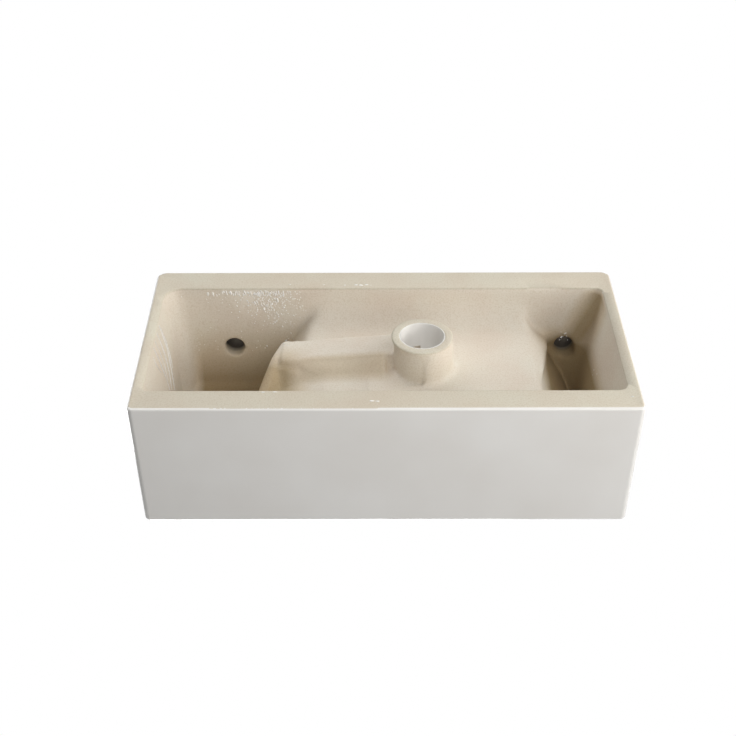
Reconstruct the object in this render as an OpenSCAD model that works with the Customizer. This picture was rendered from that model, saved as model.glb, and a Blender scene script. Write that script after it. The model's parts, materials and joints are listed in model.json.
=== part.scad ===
// Wall-hung rectangular hand basin in glazed ceramic, upright as it hangs.
// The front faces -Y, the wall is the plane Y = 0 and +Z is up.
// The origin lies on the wall, midway between the two fixing holes.
// The ceramic is built as its castings, which are stuck together before firing,
// and as the glaze coats that cover them. The underside and the back stay bare.

/* [Basin] */
// Overall width, measured along the underside
basin_w = 500; // [440:1:600]
// Depth from the wall to the front face
basin_d = 250; // [235:1:300]
// Height from the underside to the top rim
basin_h = 145; // [135:1:170]
// How much each end leans in from the underside to the top rim
end_inset = 2.4; // [0:0.1:6]
// Plan radius of the two corners at the front
front_corner_r = 6; // [5.5:0.1:12]
// Plan radius of the two corners at the wall
back_corner_r = 10; // [6:0.1:20]
// Rounding of the edge round the top rim
rim_edge_r = 4; // [2:0.1:4.5]
// Rounding of the edge round the underside
under_edge_r = 1.6; // [0.5:0.1:3]
// Thickness of the glaze coats
glaze_t = 0.8; // [0.5:0.1:1]

/* [Walls] */
// Thickness of the end walls at the underside
end_wall_t = 11.5; // [9:0.5:16]
// Thickness of the front wall at the underside
front_wall_t = 31; // [26:0.5:36]
// Thickness of the back wall at the underside
back_wall_t = 33; // [28:0.5:38]
// Thickness of the tap deck
deck_t = 17; // [12:0.5:22]
// Rounding between the hollow's walls and the deck above it
hollow_edge_r = 12; // [6:0.5:16]

/* [Bowl] */
// Height of the bowl's flat outside bottom above the underside
bowl_base_z = 40; // [34:0.5:46]
// Thickness of the bowl's floor at its thickest
bowl_floor_t = 14; // [13:0.5:18]
// Width of the rim beside the bowl, at the end away from the tap
rim_end_w = 36; // [30:0.5:44]
// Width of the rim in front of the bowl
rim_front_w = 16; // [14:0.5:20]
// Width of the rim between the bowl and the wall
rim_back_w = 34; // [30:0.5:40]
// Width of the tap deck between the bowl and the tap end
deck_w = 152; // [140:1:170]
// Thickness of the bowl's wall at the rim
bowl_wall_t = 10; // [8:0.5:12]
// Extra thickness of the bowl's wall that holds the overflow passage
passage_wall_extra = 16; // [14:0.5:20]
// Inside corner radius of the bowl at the rim
bowl_corner_r = 15; // [10:0.5:20]
// Radius between the bowl's floor and its sides
bowl_floor_r = 22; // [14:0.5:26]
// Rounding of the bowl's outside bottom edge
base_edge_r = 10; // [5:0.5:12]
// Hollow fillet between the bowl's bottom and the back wall
back_fillet_r = 28; // [15:1:32]
// Hollow fillet between the bowl's bottom and the front wall
front_fillet_r = 14; // [6:1:20]
// Rounding of the lip between the rim and the bowl
lip_r = 4; // [2:0.5:5]
// How far the floor falls from its edge to the waste
floor_fall = 3; // [2:0.5:4]
// Depth of the scoop in the bowl's bottom, in front of the overflow duct
scoop_depth = 8; // [4:0.5:9]

/* [Waste] */
// Diameter of the glazed waste bore
waste_bore_d = 46; // [42:0.5:50]
// Diameter of the waste boss at the underside
boss_d = 63.5; // [60:0.5:68]
// How far the boss swells down to the bowl's base, in diameter
boss_swell = 3; // [0:0.5:6]
// Radius of the hollow foot where the boss meets the bowl's base
boss_foot_r = 7; // [4:0.5:8]
// Distance of the waste from the basin's end away from the tap
waste_from_end = 211.3; // [200:0.1:220]

/* [Overflow] */
// Width of the overflow duct under the bowl
duct_w = 42; // [36:0.5:48]
// How far the duct stands proud of the bowl's base at its start
duct_start_h = 6; // [5:0.5:9]
// How far the duct stands proud of the bowl's base at the boss
duct_end_h = 17; // [14:0.5:20]
// Rounding of the duct's long edges
duct_edge_r = 10; // [8:0.5:12]
// Width of the duct's long slope towards the front
duct_slope_w = 28; // [20:0.5:32]
// Distance of the duct's centre line behind the waste's centre
duct_offset = 23; // [19:0.5:27]
// Diameter of the passage inside the duct
passage_d = 10; // [8:0.5:11]
// Diameter of the overflow hole in the bowl
overflow_hole_d = 22; // [18:0.5:24]
// Distance of the overflow hole's centre below the rim
overflow_drop = 36; // [30:0.5:42]
// Diameter of the overflow trim ring
ring_d = 31; // [28:0.5:34]
// Height of the trim ring above the bowl's wall
ring_h = 2.2; // [1.5:0.1:3]

/* [Fixings] */
// Distance of the far fixing hole from the basin's end away from the tap
fixing_from_end = 47; // [45:0.5:50]
// Distance of the near fixing hole from the tap end
fixing_from_tap_end = 83; // [78:0.5:88]
// Height of the fixing holes above the underside
fixing_z = 75; // [70:0.5:80]
// Diameter of the fixing holes
fixing_d = 22; // [18:0.5:23]
// Diameter of the tap hole
tap_hole_d = 35; // [33:0.5:36]
// Distance of the tap hole from the tap end
tap_from_end = 64; // [60:1:74]

/* [Hidden] */

// Colours of the fired clay, the glaze and the trim
bisque_colour = "#D8CCB8";
glaze_colour = "#F1EFEB";
trim_colour = "#C9CCD0";

// A disc this thick marks one level of a hull
film = 0.02;
// Cuts run past the faces they open by this much
overrun = 2;
// Height of the break in the lip's curve, as a share of its radius
lip_break_share = 0.3;
// Facets of a round corner in a hull
post_facets = 32;
// Facets of the scoop
scoop_facets = 48;
// Facets of the exact rounds
round_facets = 96;
// Angles at which a rounded edge is stepped
edge_steps = [0, 22.5, 45, 67.5, 90];
// Angles at which a hollow fillet is stepped
fillet_steps = [0:7.5:90];

half_w = basin_w / 2;
fixing_pitch = basin_w - fixing_from_end - fixing_from_tap_end;
fixing_shift = (fixing_from_tap_end - fixing_from_end) / 2;
waste_x = half_w - waste_from_end;
waste_y = basin_d / 2;
duct_y = waste_y - duct_offset;
boss_r = boss_d / 2;
bore_r = waste_bore_d / 2;
floor_z = bowl_base_z + bowl_floor_t;
seat_z = floor_z - floor_fall;
plug_r = boss_r + boss_swell / 2 + boss_foot_r / 2;
waste_at = [-waste_x, -waste_y];

// Corners of the outside, each as centre x, centre y and radius
function outer_posts(lean) = [
    for (side = [-1, 1])
        each [
            [side * (half_w - lean - front_corner_r), front_corner_r - basin_d, front_corner_r],
            [side * (half_w - lean - back_corner_r), -back_corner_r, back_corner_r]
        ]
];

// The underside hollow: its corners at the underside and at the deck
hollow_front_r = 10;
hollow_tap_front_r = 5;
hollow_back_r = 7;
hollow_tap_back_r = 20;
hollow_deep_r = 38;
hollow_deep_tap_r = 26;
hollow_back_lean = 7;
hollow_front_lean = 5;
hollow_tap_lean = 6;
hollow_end_lean = 24;
hollow_x = half_w - end_wall_t;
hollow_front = front_wall_t - basin_d;
hollow_z = basin_h - deck_t;

// How far, of its whole lean, a wall of the hollow has leant in where a fillet of radius r starts
function lean_share(r) = (bowl_base_z - r + overrun) / (hollow_z - hollow_edge_r + overrun);

hollow_mouth = [
    [hollow_front_r - hollow_x, hollow_front + hollow_front_r, hollow_front_r],
    [hollow_x - hollow_tap_front_r, hollow_front + hollow_tap_front_r, hollow_tap_front_r],
    [hollow_x - hollow_tap_back_r, -back_wall_t - hollow_tap_back_r, hollow_tap_back_r],
    [hollow_back_r - hollow_x, -back_wall_t - hollow_back_r, hollow_back_r]
];
crown_end = hollow_end_lean - hollow_x;
crown_tap = hollow_x - hollow_tap_lean;
crown_front = hollow_front + hollow_front_lean;
crown_back = -back_wall_t - hollow_back_lean;
hollow_crown = [
    [crown_end + hollow_deep_r, crown_front + hollow_deep_r, hollow_deep_r],
    [crown_tap - hollow_deep_tap_r, crown_front + hollow_deep_tap_r, hollow_deep_tap_r],
    [crown_tap - hollow_deep_tap_r, crown_back - hollow_deep_tap_r, hollow_deep_tap_r],
    [crown_end + hollow_deep_r, crown_back - hollow_deep_r, hollow_deep_r]
];
// The far fixing hole also passes the round corner of the hollow
fixing_hole_l = back_wall_t + hollow_deep_r;

// The bowl's inside: its opening at the rim and its floor
bowl_left = rim_end_w - half_w;
bowl_right = half_w - deck_w;
bowl_front = rim_front_w - basin_d;
opening = [
    [bowl_left + bowl_corner_r, bowl_front + bowl_corner_r, bowl_corner_r],
    [bowl_right - bowl_corner_r, bowl_front + bowl_corner_r, bowl_corner_r],
    [bowl_right - bowl_corner_r, -rim_back_w - bowl_corner_r, bowl_corner_r],
    [bowl_left + bowl_corner_r, -rim_back_w - bowl_corner_r, bowl_corner_r]
];
floor_corner_r = 30;
floor_in_left = 64;
floor_in_right = 10;
floor_in_front = 31;
floor_in_back = 18;
floor_left = bowl_left + floor_in_left;
floor_right = bowl_right - floor_in_right;
floor_front = bowl_front + floor_in_front;
floor_back = -rim_back_w - floor_in_back;
floor_plan = [
    [floor_left + floor_corner_r, floor_front + floor_corner_r, floor_corner_r],
    [floor_right - floor_corner_r, floor_front + floor_corner_r, floor_corner_r],
    [floor_right - floor_corner_r, floor_back - floor_corner_r, floor_corner_r],
    [floor_left + floor_corner_r, floor_back - floor_corner_r, floor_corner_r]
];
// The floor falls to the waste inside the largest circle that its nearest side leaves
fall_margin = 1;
fall_reach = [floor_back + waste_y, -waste_y - floor_front, floor_right + waste_x, -waste_x - floor_left];
fall_r = min(fall_reach) - fall_margin;

// The bowl's outside: the bottom that shows from below and the hidden top
base_embed = 5;
base_end_in = 48;
base_front_right_r = 20;
base_mid_r = 30;
base_back_right_r = 40;
base_back_left_r = 22;
base_front_left_r = 12;
base_tap_reach = 31;
base_right = bowl_right + base_tap_reach;
base_mid_in = 6;
base_back_in = 21;
base_left = bowl_left + base_end_in;
base_front = hollow_front - base_embed;
base_back = base_embed - back_wall_t;
base_plan = [
    [base_left + base_front_left_r, base_front + base_front_left_r, base_front_left_r],
    [base_right - base_front_right_r, base_front + base_front_right_r, base_front_right_r],
    [base_right - base_mid_in - base_mid_r, -waste_y, base_mid_r],
    [base_right - base_back_in - base_back_right_r, base_back - base_back_right_r, base_back_right_r],
    [base_left + base_back_left_r, base_back - base_back_left_r, base_back_left_r]
];
bowl_crown = [
    for (p = opening)
        [p[0] + (p[0] > -waste_x ? passage_wall_extra : 0), p[1], p[2] + bowl_wall_t]
];

// A long round scoop sinks the bowl's bottom between the duct, the front wall and the bowl's tap side
scoop_r = 60;
scoop_in = 37;
scoop_x = base_right - scoop_in;
scoop_back = -waste_y - boss_r;

// The bowl's wall beside the tap, which leans outwards to the rim
wall_foot_z = floor_z + bowl_floor_r;
wall_rise = basin_h + overrun - wall_foot_z;
wall_lean = atan(floor_in_right / wall_rise);
overflow_z = basin_h - overflow_drop;
overflow_x = bowl_right - floor_in_right + floor_in_right * (overflow_z - wall_foot_z) / wall_rise;
slope_foot_h = 0.5;
riser_t = 9;
riser_w = 20;
riser_wall_t = 6;
riser_x = overflow_x + glaze_t + riser_wall_t + riser_t / 2;
riser_foot_z = bowl_base_z + base_edge_r;
passage_start = [riser_x, -duct_y, bowl_base_z + passage_d / 2 + glaze_t];
passage_end = [-waste_x, -duct_y, bowl_base_z - duct_end_h + duct_edge_r];
ring_wall_t = 1;
sleeve_l = 8;
sleeve_gap = 0.15;

// One level of a form: a thin disc at each corner
module level(posts, z, grow) {
    for (p = posts)
        translate([p[0], p[1], z])
            cylinder(r = max(p[2] + grow, film), h = film, $fn = post_facets);
}

// A form between two plans, with its edges rounded at the foot and at the crown
module soft_form(foot, crown, foot_z, crown_z, foot_edge, crown_edge, grow) {
    hull() {
        for (a = edge_steps) {
            level(foot, foot_z + foot_edge * (1 - sin(a)), grow - foot_edge * (1 - cos(a)));
            level(crown, crown_z - film - crown_edge * (1 - sin(a)), grow - crown_edge * (1 - cos(a)));
        }
    }
}

// The outside, taken in by the glaze where it is glazed, and flush at the wall and the underside
module outside(inset) {
    intersection() {
        translate([0, inset, 0])
            soft_form(outer_posts(0), outer_posts(end_inset), 0, basin_h - inset,
                      under_edge_r, rim_edge_r, -inset);
        translate([-basin_w, inset - basin_d, 0])
            cube([2 * basin_w, basin_d - inset, basin_h]);
    }
}

// The hollow that is open at the underside
module underside_hollow() {
    soft_form(hollow_mouth, hollow_crown, -overrun, hollow_z, 0, hollow_edge_r, 0);
}

// The bowl's inside, grown by the glaze where the clay is cut
module bowl_inside(grow) {
    soft_form(floor_plan, opening, floor_z - grow, basin_h + overrun, bowl_floor_r, 0, grow);
    lip_break = lip_r * lip_break_share;
    hull() {
        level(opening, basin_h - lip_r - grow, grow);
        level(opening, basin_h - lip_break - grow, grow + lip_break);
    }
    hull() {
        level(opening, basin_h - lip_break - grow, grow + lip_break);
        level(opening, basin_h - grow, grow + lip_r);
        level(opening, basin_h + overrun, grow + lip_r);
    }
    fall_span = fall_r - plug_r;
    over_share = overrun / floor_fall;
    over_r = fall_r + fall_span * over_share;
    translate([waste_at[0], waste_at[1], seat_z - grow])
        cylinder(r1 = plug_r, r2 = over_r, h = floor_fall + overrun, $fn = round_facets);
}

// A hollow fillet along the basin, under the bowl's base: solid in the corner, open below
module fillet_bar(wall_y, side, r) {
    x0 = base_left - overrun;
    arc = [for (a = fillet_steps) [wall_y - side * r * (1 - cos(a)), bowl_base_z - r * (1 - sin(a))]];
    translate([x0, 0, 0])
        rotate([90, 0, 90])
            linear_extrude(base_right - x0 + overrun)
                polygon(concat(arc, [
                    [wall_y - side * r, bowl_base_z + base_edge_r],
                    [wall_y + side * base_embed, bowl_base_z + base_edge_r],
                    [wall_y + side * base_embed, bowl_base_z - r]
                ]));
}

// A fillet bar cut to the bowl's plan
module fillet(wall_y, side, r) {
    intersection() {
        linear_extrude(bowl_base_z + base_edge_r)
            hull()
                for (p = base_plan)
                    translate([p[0], p[1]])
                        circle(r = p[2] - base_edge_r / 2, $fn = post_facets);
        fillet_bar(wall_y, side, r);
    }
}

// The scoop in front of the duct, as the round tool that is pressed into the bottom from below
module scoop() {
    hull() {
        for (y = [scoop_back, base_front])
            translate([scoop_x, y, bowl_base_z + scoop_depth - scoop_r])
                sphere(r = scoop_r, $fn = scoop_facets);
    }
}

// The whole outside of the bowl casting
module bowl_outside() {
    difference() {
        union() {
            soft_form(base_plan, bowl_crown, bowl_base_z, basin_h - glaze_t, base_edge_r, 0, 0);
            fillet(hollow_front + hollow_front_lean * lean_share(front_fillet_r), -1, front_fillet_r);
        }
        scoop();
    }
    fillet(-back_wall_t - hollow_back_lean * lean_share(back_fillet_r), 1, back_fillet_r);
}

// The outside of the boss: a slightly swelling tube with a hollow foot on the bowl's base
module boss_outside() {
    foot_z = bowl_base_z - boss_foot_r;
    swollen_r = boss_r + boss_swell / 2;
    translate([waste_at[0], waste_at[1], 0])
        rotate_extrude($fn = round_facets)
            union() {
                polygon([[0, 0], [boss_r, 0], [swollen_r, foot_z], [swollen_r, bowl_base_z],
                         [plug_r, bowl_base_z], [plug_r, seat_z - glaze_t], [0, seat_z - glaze_t]]);
                difference() {
                    translate([swollen_r - film, foot_z])
                        square([boss_foot_r + film, boss_foot_r]);
                    translate([swollen_r + boss_foot_r, foot_z])
                        circle(r = boss_foot_r, $fn = round_facets);
                }
            }
}

// The waste bore with a given wall of glaze left in it
module waste_hole(r) {
    translate([waste_at[0], waste_at[1], -overrun])
        cylinder(r = r, h = seat_z + 2 * overrun, $fn = round_facets);
}

// The water's way from the overflow hole to the waste bore
module overflow_passage() {
    run = passage_start - passage_end;
    run_angle = atan2(run[2], run[0]);
    translate(passage_end)
        rotate([0, 90 - run_angle, 0])
            cylinder(d = passage_d, h = norm(run), $fn = round_facets);
    translate([riser_x - riser_t / 2, -duct_y - riser_w / 2, riser_foot_z])
        cube([riser_t, riser_w, overflow_z + overflow_hole_d / 2 - riser_foot_z]);
}

// The overflow hole, square to the bowl's leaning wall
module on_overflow() {
    translate([overflow_x, -duct_y, overflow_z])
        rotate([0, 90 + wall_lean, 0])
            children();
}

// Apron, ends, back wall and tap deck
module outer_shell() {
    color(bisque_colour)
        difference() {
            outside(glaze_t);
            underside_hollow();
            bowl_outside();
            for (side = [-1, 1])
                translate([side * fixing_pitch / 2 - fixing_shift, overrun, fixing_z])
                    rotate([90, 0, 0])
                        cylinder(d = fixing_d, h = fixing_hole_l, $fn = round_facets);
            translate([half_w - end_inset - tap_from_end, -waste_y, hollow_z - overrun])
                cylinder(d = tap_hole_d, h = deck_t + 2 * overrun, $fn = round_facets);
        }
}

// The bowl casting, with the overflow passage in its thick wall
module bowl() {
    color(bisque_colour)
        difference() {
            bowl_outside();
            bowl_inside(glaze_t);
            translate([waste_at[0], waste_at[1], bowl_base_z - overrun])
                cylinder(r = plug_r, h = bowl_floor_t, $fn = round_facets);
            overflow_passage();
            on_overflow()
                translate([0, 0, -overrun])
                    cylinder(d = overflow_hole_d, h = riser_wall_t + riser_t, $fn = round_facets);
        }
}

// The boss that takes the waste, seated in the bowl's floor
module waste_boss() {
    color(bisque_colour)
        difference() {
            boss_outside();
            waste_hole(bore_r + glaze_t);
            overflow_passage();
        }
}

// The raised duct that falls from the bowl's thick wall to the boss
module overflow_duct() {
    half_run = duct_w / 2 - duct_edge_r;
    slope_foot_y = -duct_y - half_run - duct_slope_w;
    start_x = base_right - base_back_in - duct_edge_r - base_edge_r / 2;
    color(bisque_colour)
        difference() {
            hull() {
                for (y = [-duct_y - half_run, -duct_y + half_run]) {
                    translate([start_x, y, bowl_base_z - duct_start_h + duct_edge_r])
                        sphere(r = duct_edge_r, $fn = post_facets);
                    translate([-waste_x, y, bowl_base_z - duct_end_h + duct_edge_r])
                        sphere(r = duct_edge_r, $fn = post_facets);
                }
                for (x = [-waste_x, start_x])
                    translate([x, slope_foot_y, bowl_base_z + duct_edge_r - slope_foot_h])
                        sphere(r = duct_edge_r, $fn = post_facets);
            }
            bowl_outside();
            boss_outside();
            overflow_passage();
        }
}

// The glaze on the front, the ends, the rim and the deck
module shell_glaze() {
    color(glaze_colour)
        difference() {
            outside(0);
            outside(glaze_t);
            bowl_inside(glaze_t);
            translate([half_w - end_inset - tap_from_end, -waste_y, hollow_z])
                cylinder(d = tap_hole_d, h = deck_t + overrun, $fn = round_facets);
        }
}

// The glaze inside the bowl and over its lip
module bowl_glaze() {
    color(glaze_colour)
        difference() {
            intersection() {
                bowl_inside(glaze_t);
                translate([-half_w, -basin_d, 0])
                    cube([basin_w, basin_d, basin_h]);
            }
            bowl_inside(0);
            waste_hole(bore_r + glaze_t);
            on_overflow()
                translate([0, 0, -overrun])
                    cylinder(d = overflow_hole_d, h = 2 * overrun, $fn = round_facets);
        }
}

// The glaze that lines the waste bore, with the outlet of the overflow in it
module waste_bore_glaze() {
    color(glaze_colour)
        difference() {
            translate([waste_at[0], waste_at[1], 0])
                cylinder(r = bore_r + glaze_t, h = seat_z, $fn = round_facets);
            waste_hole(bore_r);
            overflow_passage();
        }
}

// The push-in ring that trims the overflow hole
module overflow_trim_ring() {
    sleeve_r = overflow_hole_d / 2 - sleeve_gap;
    color(trim_colour)
        on_overflow()
            rotate_extrude($fn = round_facets)
                difference() {
                    union() {
                        translate([sleeve_r - ring_wall_t, -ring_h])
                            square([ring_wall_t, ring_h + sleeve_l]);
                        translate([sleeve_r - ring_wall_t, -ring_h])
                            square([ring_d / 2 - sleeve_r + ring_wall_t - ring_h / 2, ring_h]);
                        translate([ring_d / 2 - ring_h / 2, -ring_h / 2])
                            circle(d = ring_h, $fn = post_facets);
                    }
                    translate([sleeve_r - ring_wall_t - overrun, sleeve_l])
                        square([overrun, overrun]);
                }
}

// Puts the origin on the wall, midway between the fixing holes
module placed() {
    translate([fixing_shift, 0, -fixing_z])
        children();
}

placed() outer_shell();
placed() bowl();
placed() waste_boss();
placed() overflow_duct();
placed() shell_glaze();
placed() bowl_glaze();
placed() waste_bore_glaze();
placed() overflow_trim_ring();
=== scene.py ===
# %% [markdown]
# # A wall-hung hand basin, seen from below
#
# The basin is one fired ceramic: bare clay below, white glaze outside and in the bowl. It hangs upright
# in the frame, so +Z is up and the wall is behind it. The photograph shows it turned over, and the same
# picture is taken here by a camera that looks up at the basin and is itself upside down.

import json
import math
import random

import bpy
from mathutils import Matrix, Vector
from mathutils.bvhtree import BVHTree


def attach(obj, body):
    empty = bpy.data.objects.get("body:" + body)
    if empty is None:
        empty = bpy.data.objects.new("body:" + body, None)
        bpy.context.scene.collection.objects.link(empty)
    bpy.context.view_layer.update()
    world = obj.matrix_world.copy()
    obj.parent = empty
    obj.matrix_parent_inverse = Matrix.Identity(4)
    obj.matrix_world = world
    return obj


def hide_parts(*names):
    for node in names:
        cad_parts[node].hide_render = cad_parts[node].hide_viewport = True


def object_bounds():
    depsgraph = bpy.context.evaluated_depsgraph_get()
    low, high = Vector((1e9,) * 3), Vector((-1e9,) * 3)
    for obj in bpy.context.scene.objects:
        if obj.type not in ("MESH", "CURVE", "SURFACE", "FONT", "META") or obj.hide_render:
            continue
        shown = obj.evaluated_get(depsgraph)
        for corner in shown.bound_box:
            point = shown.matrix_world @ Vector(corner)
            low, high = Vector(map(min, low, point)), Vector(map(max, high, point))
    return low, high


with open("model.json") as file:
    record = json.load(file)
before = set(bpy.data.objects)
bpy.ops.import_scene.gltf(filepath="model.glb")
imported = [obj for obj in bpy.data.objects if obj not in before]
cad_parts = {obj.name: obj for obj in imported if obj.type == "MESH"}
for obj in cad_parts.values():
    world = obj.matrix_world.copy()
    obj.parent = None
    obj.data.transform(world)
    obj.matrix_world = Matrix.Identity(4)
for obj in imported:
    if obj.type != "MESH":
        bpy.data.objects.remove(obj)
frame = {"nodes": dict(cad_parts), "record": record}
CAD_BOX = [list(corner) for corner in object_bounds()]
MM = 0.001
print("basin box in mm:", [[round(v / MM, 1) for v in corner] for corner in CAD_BOX])

# %% [markdown]
# Two places are used again and again: the middle of the waste bore, and the two bolt holes, which lie at
# equal distances from the middle of the wall. Both are mounts of the basin, so its record gives them.

# %% Places of the mounts
mounts = {mount["name"]: mount for mount in frame["record"]["mounts"]}
WASTE_X, WASTE_Y, _ = mounts["waste_bore"]["pos_m"]
BOLT_OFFSET = mounts["wall_fixing_holes"]["dims"]["spacing_x_mm"] / 2 * MM
print("waste bore at", [WASTE_X, WASTE_Y], "and bolt holes", BOLT_OFFSET, "to each side")

# %% [markdown]
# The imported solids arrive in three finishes. A piece of this scene is either a node that gets a better
# finish, or a copy of some nodes that is worked further and then stands for them. Blender's operators act
# on all that is selected, so each step starts from one selected object and nothing else.

# %% Select one object and copy some nodes
def take(piece):
    """Makes piece the only selected object, and the active one."""
    bpy.ops.object.select_all(action="DESELECT")
    piece.select_set(True)
    bpy.context.view_layer.objects.active = piece


def copy_nodes(name, *nodes):
    """One new object with copies of the nodes' meshes, their loose triangles merged."""
    parts = []
    for node_name in nodes:
        part = bpy.data.objects.new(name, frame["nodes"][node_name].data.copy())
        bpy.context.scene.collection.objects.link(part)
        take(part)
        bpy.ops.object.mode_set(mode="EDIT")
        bpy.ops.mesh.select_all(action="SELECT")
        bpy.ops.mesh.remove_doubles(threshold=0.01 * MM)
        bpy.ops.object.mode_set(mode="OBJECT")
        parts.append(part)
    take(parts[0])
    for part in parts:
        part.select_set(True)
    if len(parts) > 1:
        bpy.ops.object.join()
    piece = bpy.context.active_object
    piece.name = piece.data.name = name
    return piece


def apply_modifier(piece, kind, **settings):
    """Adds one modifier with its settings and applies it."""
    take(piece)
    modifier = piece.modifiers.new(kind.lower(), kind)
    for setting, value in settings.items():
        setattr(modifier, setting, value)
    bpy.ops.object.modifier_apply(modifier=modifier.name)


# %% [markdown]
# The camera stands 1.2 m in front of the basin and 0.8 m below it. Its place, tilt and lens were worked
# out from the outline of the rim and the underside in the photograph. The small shift allows for a
# picture that was cropped.

# %% Camera
LOOK = Vector((0.00054, 0.77660, 0.63001))
PICTURE_UP = Vector((-0.00200, 0.63001, -0.77660))
camera_data = bpy.data.cameras.new("camera")
camera_data.lens = 62.31
camera_data.sensor_width = 36.0
camera_data.shift_y = 0.0978
camera = bpy.data.objects.new("camera", camera_data)
bpy.context.scene.collection.objects.link(camera)
RIGHT = LOOK.cross(PICTURE_UP).normalized()
camera.matrix_world = Matrix((RIGHT, PICTURE_UP, -LOOK)).transposed().to_4x4()
camera.location = Vector((34.9, -1216.5, -821.8)) * MM
bpy.context.scene.camera = camera
bpy.context.scene.view_settings.view_transform = "Standard"
print("camera at", [round(v, 3) for v in camera.location])

# %% [markdown]
# Colours are written as sRGB hex values, as a paint chart gives them. Blender's shaders work with linear
# light, so one function turns them over. One more function adds a shader node with its settings and
# links.

# %% Colour and node helpers
def paint(hex_value):
    """An sRGB hex colour as linear RGBA."""
    shares = [int(hex_value[i : i + 2], 16) / 255 for i in (1, 3, 5)]
    return [s / 12.92 if s <= 0.04045 else ((s + 0.055) / 1.055) ** 2.4 for s in shares] + [1.0]


def add_node(tree, kind, inputs=None, **settings):
    """One node, with its settings, and its inputs given as values or as the sockets that feed them."""
    made = tree.nodes.new(kind)
    for setting, value in settings.items():
        setattr(made, setting, value)
    for socket, value in (inputs or {}).items():
        if isinstance(value, bpy.types.NodeSocket):
            tree.links.new(value, made.inputs[socket])
        else:
            made.inputs[socket].default_value = value
    return made


def new_finish(name):
    """An empty material and its node tree."""
    finish = bpy.data.materials.new(name)
    finish.use_nodes = True
    finish.node_tree.nodes.clear()
    return finish, finish.node_tree


def color_stops(ramp, *stops):
    """Sets a colour ramp from pairs of place and hex colour."""
    elements = ramp.color_ramp.elements
    while len(elements) < len(stops):
        elements.new(0.5)
    for element, (place, hex_value) in zip(elements, stops):
        element.position = place
        element.color = paint(hex_value)


# %% [markdown]
# The background of the photograph is white, and its light is soft. The world shows white to the camera
# and in reflections, and gives the clay only a little light, because the deep pockets of the photograph
# are dark.

# %% World
world = bpy.data.worlds.new("studio")
bpy.context.scene.world = world
world.use_nodes = True
world.node_tree.nodes.clear()
path = add_node(world.node_tree, "ShaderNodeLightPath")
shows_white = path.outputs["Is Camera Ray"]
for ray in ("Is Glossy Ray", "Is Transmission Ray"):
    either = add_node(
        world.node_tree, "ShaderNodeMath", {0: shows_white, 1: path.outputs[ray]}, operation="MAXIMUM"
    )
    shows_white = either.outputs[0]
fill = add_node(world.node_tree, "ShaderNodeBackground", {"Color": paint("#fbfcff"), "Strength": 0.02})
white = add_node(world.node_tree, "ShaderNodeBackground", {"Color": paint("#ffffff"), "Strength": 1.0})
backdrop = add_node(
    world.node_tree, "ShaderNodeMixShader", {0: shows_white, 1: fill.outputs[0], 2: white.outputs[0]}
)
add_node(world.node_tree, "ShaderNodeOutputWorld", {"Surface": backdrop.outputs[0]})
print("world nodes:", len(world.node_tree.nodes))

# %% [markdown]
# Wide area lamps give soft light. The strongest stands beside the basin and a little below it, on the side
# that is the right of the picture, where the basin is brighter. Two lamps below the basin, two in front of it
# and one behind it light the rest of the underside. One overhead, one on the wall's side and a soft sun from
# above light the top and the floor for the other views. The powers were found by renders of one lamp at a
# time, and then adjusted.

# %% Soft lamps
LIT_SPOT = Vector((0, -0.12, 0))
SUN_FROM = Vector((0.12, 0.25, 1.0))
WHITE, WARM_WHITE = "#ffffff", "#fffdfa"
# The name, the place and the side in metres, the power in watts, and the colour
LAMPS = [
    ("below_back", (0.0, 1.1, -1.7), 1.6, 15.0, WHITE),
    ("below_front", (-0.35, -1.4, -1.6), 1.6, 14.8, WHITE),
    ("picture_right", (-1.72, -0.1, -0.85), 1.5, 25.0, WARM_WHITE),
    ("front_right", (-1.4, -1.3, -0.2), 1.2, 10.5, WARM_WHITE),
    ("picture_left_back", (1.2, 0.9, -1.3), 1.4, 10.8, WHITE),
    ("front", (-0.45, -1.9, -0.3), 1.4, 10.5, WHITE),
    ("overhead", (0.2, 0.1, 1.7), 1.4, 7.0, WHITE),
    ("wall_side", (1.5, 1.1, 0.8), 1.2, 15.0, WHITE),
]
for name, stand, size, watts, hex_value in LAMPS:
    lamp_data = bpy.data.lights.new(name, "AREA")
    lamp_data.shape = "SQUARE"
    lamp_data.size = size
    lamp_data.energy = watts
    lamp_data.color = paint(hex_value)[:3]
    lamp = bpy.data.objects.new(name, lamp_data)
    lamp.rotation_euler = (LIT_SPOT - Vector(stand)).to_track_quat("-Z", "Y").to_euler()
    lamp.location = stand
    bpy.context.scene.collection.objects.link(lamp)
sun = bpy.data.objects.new("sky", bpy.data.lights.new("sky", "SUN"))
sun.data.energy = 2.0
sun.data.angle = math.radians(30)
sun.rotation_euler = SUN_FROM.to_track_quat("Z", "Y").to_euler()
bpy.context.scene.collection.objects.link(sun)
print("lamps:", len(bpy.data.lights))

# %% [markdown]
# The floor is a plain pale sheet just under the basin. It shows only from above, where it keeps the
# basin's shadow. From below, and for all light, it isn't there, so it neither hides nor darkens the
# underside.

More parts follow.
